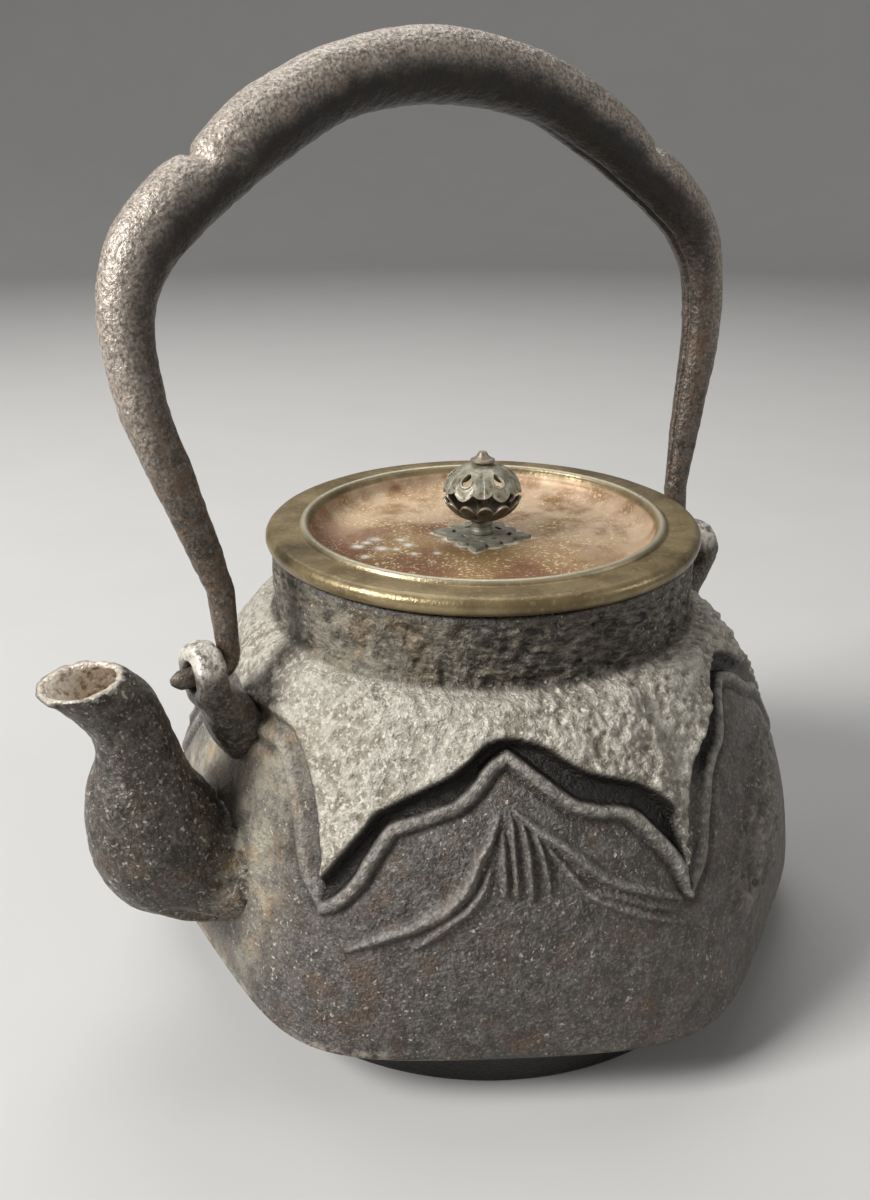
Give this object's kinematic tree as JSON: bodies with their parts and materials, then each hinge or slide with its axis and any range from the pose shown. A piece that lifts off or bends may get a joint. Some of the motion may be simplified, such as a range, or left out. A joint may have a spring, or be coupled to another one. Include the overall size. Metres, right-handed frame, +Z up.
{
  "type": "cast iron kettle",
  "caption": "Six-sided cast iron kettle with mountain outlines on its faces, a gooseneck spout, a swinging hollow bow handle and a lift-off metal lid with a pierced bud knob.",
  "frame": {"origin": "middle of the foot, on the surface that the kettle stands on", "axes": "+Z up; the spout points along -X and the handle swings about an axis along X"},
  "size_m": [0.1857, 0.1618, 0.2077],
  "materials": {
    "body_iron": "sand-cast, dark grey-brown, patinated",
    "spout_iron": "sand-cast, dark brown, speckled",
    "lug_iron": "cast, worn pale on top",
    "handle_iron": "forged, finely hammered and pitted",
    "lid_bronze": "satin, olive rim and red-brown plate patina",
    "knob_metal": "aged grey-green metal",
    "calyx_metal": "dark patinated metal",
    "rivet_brass": "worn tan metal"
  },
  "bodies": {
    "kettle": {"kettle_body": "body_iron", "spout": "spout_iron", "lug_front": "lug_iron", "lug_rear": "lug_iron"},
    "handle": {"handle_bow": "handle_iron", "handle_hook_front": "handle_iron", "handle_hook_rear": "handle_iron"},
    "lid": {"lid_cover": "lid_bronze", "lid_skirt": "lid_bronze", "knob_seat_plate": "knob_metal"},
    "knob": {"knob_collar": "knob_metal", "knob_calyx": "calyx_metal", "knob_cap": "knob_metal", "knob_finial": "rivet_brass", "knob_rivet": "rivet_brass", "rivet_washer": "rivet_brass"}
  },
  "joints": [
    {"name": "handle_swing", "type": "hinge", "parent": "kettle", "child": "handle", "pos_m": [0, 0, 0.083], "axis": [1, 0, 0], "range_deg": [-84, 100]},
    {"name": "lid_lift", "type": "slide", "parent": "kettle", "child": "lid", "axis": [0, 0, 1], "range_m": [0, 0.045]},
    {"name": "knob_spin", "type": "hinge", "parent": "lid", "child": "knob", "pos_m": [0, 0, 0.11], "axis": [0, 0, 1], "continuous": true}
  ]
}
